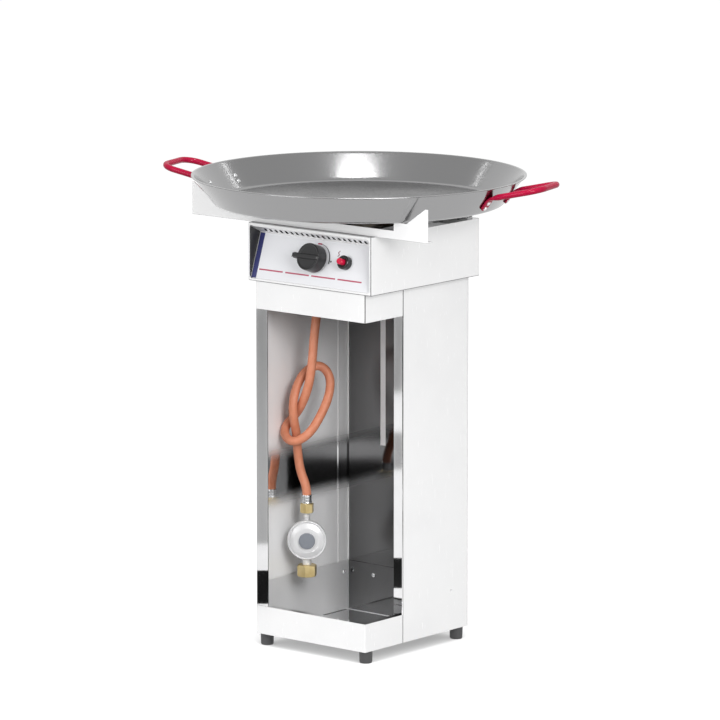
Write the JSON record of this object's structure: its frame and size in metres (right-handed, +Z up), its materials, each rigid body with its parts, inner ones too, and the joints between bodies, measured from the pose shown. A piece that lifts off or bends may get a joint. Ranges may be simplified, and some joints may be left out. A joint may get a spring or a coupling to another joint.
{
  "type": "gas grill",
  "caption": "Round-pan gas grill on an open sheet-steel cabinet stand, with a front control knob, a push igniter and a knotted hose with a regulator.",
  "frame": {"origin": "on the floor, under the middle of the pan", "axes": "+Z up; the front with the knob faces -Y; +X to the right of a cook who faces the front"},
  "size_m": [0.7432, 0.6, 0.855],
  "materials": {
    "sheet_steel": "smooth bright stainless sheet",
    "pan_steel": "fine brushed stainless",
    "burner_steel": "dull stainless",
    "zinc_steel": "bright zinc",
    "foot_rubber": "matte moulded",
    "film": "satin printed film",
    "knob_black": "satin moulded",
    "bezel_black": "glossy moulded",
    "button_red": "glossy moulded",
    "handle_red": "glossy crimson coating",
    "brass": "bare turned brass",
    "regulator_metal": "satin cast",
    "cap_grey": "satin moulded",
    "hose_orange": "smooth satin",
    "seal_black": "smooth",
    "ceramic_white": "glazed",
    "lead_black": "smooth"
  },
  "bodies": {
    "cabinet": {"base_tray": "sheet_steel", "left_side_panel": "sheet_steel", "right_side_panel": "sheet_steel", "back_panel": "sheet_steel", "lower_front_band": "sheet_steel", "upper_front_band": "sheet_steel", "housing_shell": "sheet_steel", "housing_bottom": "sheet_steel", "deck_plate": "sheet_steel", "control_panel": "sheet_steel", "front_pan_support": "sheet_steel", "rear_pan_support": "sheet_steel", "left_burner": "burner_steel", "right_burner": "burner_steel", "front_burner_bracket": "burner_steel", "rear_burner_bracket": "burner_steel", "foot_screws": "zinc_steel", "stand_screws": "zinc_steel", "bracket_screws": "zinc_steel", "support_screws": "zinc_steel", "valve_nut": "zinc_steel", "stem_spring": "zinc_steel", "igniter_spring": "zinc_steel", "hose_ferrule": "zinc_steel", "hose_top_ferrule": "zinc_steel", "electrode_rod": "zinc_steel", "front_left_foot": "foot_rubber", "front_right_foot": "foot_rubber", "rear_left_foot": "foot_rubber", "rear_right_foot": "foot_rubber", "panel_film": "film", "igniter_body": "knob_black", "igniter_nut": "knob_black", "igniter_bezel": "bezel_black", "gas_valve": "brass", "manifold": "brass", "injectors": "brass", "gas_inlet": "brass", "inlet_lock_nut": "brass", "hose_top_nut": "brass", "hose_nut": "brass", "regulator_spigot": "brass", "supply_pipe": "brass", "regulator_body": "regulator_metal", "regulator_cover": "regulator_metal", "regulator_cap": "cap_grey", "gas_hose": "hose_orange", "inlet_seal": "seal_black", "electrode_insulator": "ceramic_white", "igniter_lead": "lead_black"},
    "pan": {"pan": "pan_steel", "right_handle": "handle_red", "left_handle": "handle_red", "pan_rivets": "zinc_steel"},
    "push_collar": {"stem_collar": "zinc_steel"},
    "knob": {"control_knob": "knob_black", "valve_stem": "zinc_steel"},
    "igniter_button": {"igniter_button": "button_red"},
    "inlet_nut": {"regulator_inlet_nut": "brass"}
  },
  "joints": [
    {"name": "pan_lift", "type": "slide", "parent": "cabinet", "child": "pan", "axis": [0, 0, 1], "range_m": [0, 0.25]},
    {"name": "knob_push", "type": "slide", "parent": "cabinet", "child": "push_collar", "axis": [0, 0.9466, -0.3223], "range_m": [0, 0.003], "stiffness_N_per_m": 1500, "springref_m": -0.002, "deforming": ["stem_spring"]},
    {"name": "knob_turn", "type": "hinge", "parent": "push_collar", "child": "knob", "pos_m": [0.0145, -0.13269, 0.71282], "axis": [0, 0.9466, -0.3223], "range_deg": [0, 180]},
    {"name": "igniter_push", "type": "slide", "parent": "cabinet", "child": "igniter_button", "axis": [0, 0.9466, -0.3223], "range_m": [0, 0.006], "stiffness_N_per_m": 800, "springref_m": -0.003, "deforming": ["igniter_spring"]},
    {"name": "inlet_nut_turn", "type": "hinge", "parent": "cabinet", "child": "inlet_nut", "pos_m": [-0.07238, -0.0595, 0.128], "axis": [0, 0, 1], "continuous": true}
  ]
}
